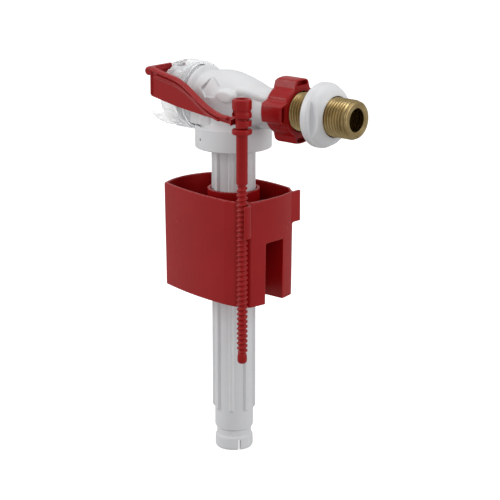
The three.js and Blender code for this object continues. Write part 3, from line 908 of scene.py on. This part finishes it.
def adjusting_rod():
    """The screwed rod: a thimble head with a side window, a plain neck, a flange and the thread."""
    top, bottom = rod_high.z, rod_low.z
    head_r = (rod_high.y - rod_low.y) / 2 - 0.2
    upper = turned([(radius, height) for radius, height in rounded([
        (0, -36.4), (2.4, -36.4), (3.08, -35.4), (3.08, -9.3), (4.9, -9.25), (5.36, -8.7), (5.36, -6.9),
        (4.9, -6.42), (2.3, -6.4), (2.3, -0.5), (head_r - 0.25, -0.5), (head_r, 0), (head_r, 2.1),
        (4.75, 2.4), (4.75, 3.7), (head_r, 4.0), (head_r, 8.6), (4.6, top), (3.4, top), (3.2, 8.2),
        (0, 8.2),
    ], 0.28, 4)], steps=96)
    window = block((-2.8, 0.6), (-7, -3.5), (0.8, 3.8))
    thread = screw(-128.8, -36, ROD_PITCH, ROD_ROOT_R, ROD_CREST_R, rod_tooth,
                   columns=40, rows=14, fade=1.6)
    tip = turned(rounded([
        (0, bottom), (1.9, bottom), (2.6, bottom + 1.1), (2.6, -130), (2.1, -128.4), (0, -128.4),
    ], 0.5, 4), steps=64)
    neck = cylinder(2.15, -36.6, -35, steps=64)
    rod = join(cut(upper, window), neck, thread, tip)
    rod.transform(Matrix.Translation((ROD_X, ROD_Y, 0)))
    return rod


def rod_bush():
    low, high = bush_low.z, bush_high.z
    return turned(rounded([(2.65, low), (3.35, low), (3.35, high), (2.65, high)], 0.2, 3), "Z", 64,
                  (ROD_X, ROD_Y))


show("screw_rod", adjusting_rod(), "adjusting_rod", RED, "adjusting_rod", crease=50)
show("bush_sleeve", rod_bush(), "rod_bush", RED, "rod_bush")


# ---- Float ----

float_low, float_high = extent("float_cup")
FLOAT_TOP = float_high.z
FLOAT_BOTTOM = float_low.z
FLOAT_WALL = 1.5
FLOAT_DRAFT = 0.02
SLEEVE_R = 14.4
FLOAT_BORE_R = 12.7


def curved(start, middle, end, steps=14):
    """Points of a quadratic curve, without its last one."""
    a, b, c = Vector(start), Vector(middle), Vector(end)
    return [tuple(a * (1 - t) ** 2 + b * 2 * t * (1 - t) + c * t * t) for t in np.arange(steps) / steps]


def float_plan(inset):
    """The float's outline seen from above, drawn in from its outside by a wall thickness."""
    left, right, front, back = -36.8 + inset, 38.3 - inset, -31 + inset, 19.3 - inset
    bevel = (right - 2.2 - inset * 0.4, -26.4 + inset * 0.7)
    shoulder = (right - 3.2, 8.9 - inset * 0.4)
    chamfer = (27.3, 15.6 - inset)
    corner = (left + 4.6, -21.4 + inset)
    rear = (left + 5, 15.5 - inset)
    return [
        *curved(corner, (-4, front + 0.6), (21, front)), (21, front), (28, front + 0.5),
        *curved(bevel, (right + 1.4, -8), shoulder), shoulder,
        *curved(chamfer, (12, back + 0.3), (0, back)),
        *curved((0, back), (-18, back + 0.2), rear),
        *curved(rear, (left - 4.4, -2), corner),
    ]


def drafted(outline, start, end):
    """A prism that draws in towards the tube axis as it goes down, like a moulding with draft."""
    mesh = prism(outline, "Z", start, end)
    for vertex in mesh.vertices:
        scale = 1 - FLOAT_DRAFT * (FLOAT_TOP - vertex.co.z) / (FLOAT_TOP - FLOAT_BOTTOM)
        vertex.co.x *= scale
        vertex.co.y *= scale
    return mesh


def rod_guide():
    """The clip on the float's corner that follows the rod's thread, open to the front left."""
    bottom, top = -65, FLOAT_TOP - 0.3
    start, end, web_turn = math.degrees(-0.6), math.degrees(2.2), 2.02
    outer_r, inner_r = 4.85, 3.45
    shape = arc(outer_r, start, end, 20) + arc(inner_r, end, start, 20)
    ring_part = prism([(x + ROD_X, y + ROD_Y) for x, y in shape], "Z", bottom, top)
    web = block((3.75, 7), (-2.4, 2.4), (bottom, top), web_turn)
    web.transform(Matrix.Translation((ROD_X, ROD_Y, 0)))
    return join(ring_part, web)


def float_cup():
    """The open float: drafted walls, a sleeve round the tube, a notch, a guide clip and a tab."""
    margin = 0.02
    outside = drafted(float_plan(margin), FLOAT_BOTTOM, FLOAT_TOP - margin)
    cavity = drafted(float_plan(FLOAT_WALL), FLOAT_BOTTOM + FLOAT_WALL, FLOAT_TOP + 1)
    sleeve = cylinder(SLEEVE_R, FLOAT_BOTTOM, FLOAT_TOP - 1.4, steps=128)
    notch_x, notch_front, notch_back, notch_top = 16.6, -15.3, -0.9, -71
    lining = block((notch_x - FLOAT_WALL, 50), (notch_front - FLOAT_WALL, notch_back + FLOAT_WALL),
                   (FLOAT_BOTTOM, notch_top + FLOAT_WALL))
    basin = cut(cavity, sleeve, lining)
    notch = block((notch_x, 60), (notch_front, notch_back), (FLOAT_BOTTOM - 5, notch_top))
    bore = cylinder(FLOAT_BORE_R, FLOAT_BOTTOM - 1, FLOAT_TOP + 1, steps=128)
    tab = block((33.9, 35.4), (8, 15.0), (-64, FLOAT_TOP - 0.05))
    shell = cut(outside, basin, notch, bore)
    return moulded(join(shell, rod_guide(), tab), voxel=0.42, smoothing=2, keep=0.4)


show("float_shell", float_cup(), "float", RED, "float_cup")


# ---- Studio ----

AMBIENT = (0.5, 0.62)           # the backdrop's light on its dark side and its bright side
BRIGHT_SIDE = (-0.25, -0.1, 0.9)        # the direction of the bright side


def area_light(name, place, aim, size, power):
    data = bpy.data.lights.new(name, "AREA")
    data.shape = "RECTANGLE"
    data.size, data.size_y = size
    data.energy = power
    lamp = bpy.data.objects.new(name, data)
    lamp.location = place
    lamp.rotation_euler = (Vector(aim) - Vector(place)).to_track_quat("-Z", "Y").to_euler()
    bpy.context.scene.collection.objects.link(lamp)


def floor():
    """A pale, glowing floor, which neither lights the object from below nor mirrors in it."""
    half, gap = 3.0, 0.0002
    level = cad_box[0].z - gap
    mesh = bpy.data.meshes.new("floor")
    corners = [(-half, -half, level), (half, -half, level), (half, half, level), (-half, half, level)]
    mesh.from_pydata(corners, [], [(0, 1, 2, 3)])
    n = Nodes("pale_floor")
    n.set(
        Base_Color=tone(238, 238, 238),
        Roughness=0.9,
        Specular_IOR_Level=0.1,
        Emission_Color=(1, 1, 1, 1),
        Emission_Strength=0.62,
    )
    mesh.materials.append(n.material)
    ground = bpy.data.objects.new("floor", mesh)
    bpy.context.scene.collection.objects.link(ground)
    ground.visible_diffuse = False
    ground.visible_glossy = False


def studio():
    """A backdrop that shows white but lights the object about half as much, and three soft lamps."""
    scene = bpy.context.scene
    scene.view_settings.view_transform = "Standard"
    world = bpy.data.worlds.new("studio")
    world.use_nodes = True
    tree = world.node_tree
    background = tree.nodes["Background"]
    background.inputs["Color"].default_value = (1, 1, 1, 1)
    place = tree.nodes.new("ShaderNodeTexCoord")
    towards = tree.nodes.new("ShaderNodeVectorMath")
    towards.operation = "DOT_PRODUCT"
    towards.inputs[1].default_value = BRIGHT_SIDE
    sky = tree.nodes.new("ShaderNodeMapRange")
    away, facing = -0.7, 1.0
    for name, value in zip(("From Min", "From Max", "To Min", "To Max"), (away, facing, *AMBIENT)):
        sky.inputs[name].default_value = value
    path = tree.nodes.new("ShaderNodeLightPath")
    seen = tree.nodes.new("ShaderNodeMath")
    seen.operation = "MAXIMUM"
    strength = tree.nodes.new("ShaderNodeMix")
    strength.inputs["B"].default_value = 1.0
    for start, end in (
        (place.outputs["Generated"], towards.inputs[0]),
        (towards.outputs["Value"], sky.inputs["Value"]),
        (sky.outputs["Result"], strength.inputs["A"]),
        (path.outputs["Is Camera Ray"], seen.inputs[0]),
        (path.outputs["Is Transmission Ray"], seen.inputs[1]),
        (seen.outputs["Value"], strength.inputs["Factor"]),
        (strength.outputs["Result"], background.inputs["Strength"]),
    ):
        tree.links.new(start, end)
    scene.world = world
    centre = (cad_box[0] + cad_box[1]) / 2
    area_light("key", (-0.75, -0.75, 0.45), centre, (0.35, 0.6), 3.6)
    area_light("rim", (0.75, 0.25, 0.25), centre, (0.3, 0.8), 2.2)
    area_light("top", (-0.1, 0.0, 1.0), centre, (0.8, 0.8), 2.6)


def camera():
    """A long lens from the front right, a little above, as in a catalogue picture."""
    data = bpy.data.cameras.new("camera")
    data.lens = 144
    data.sensor_width = 36
    data.clip_start = 0.01
    view = bpy.data.objects.new("camera", data)
    from_tube, sideways, height = 0.71612, -0.79280, 0.19887
    tilt_down, turn = 14.83, 41.61
    view.location = (TUBE_X + from_tube, sideways, height)
    view.rotation_euler = (math.radians(90 - tilt_down), 0, math.radians(turn))
    bpy.context.scene.collection.objects.link(view)
    bpy.context.scene.camera = view


floor()
studio()
camera()
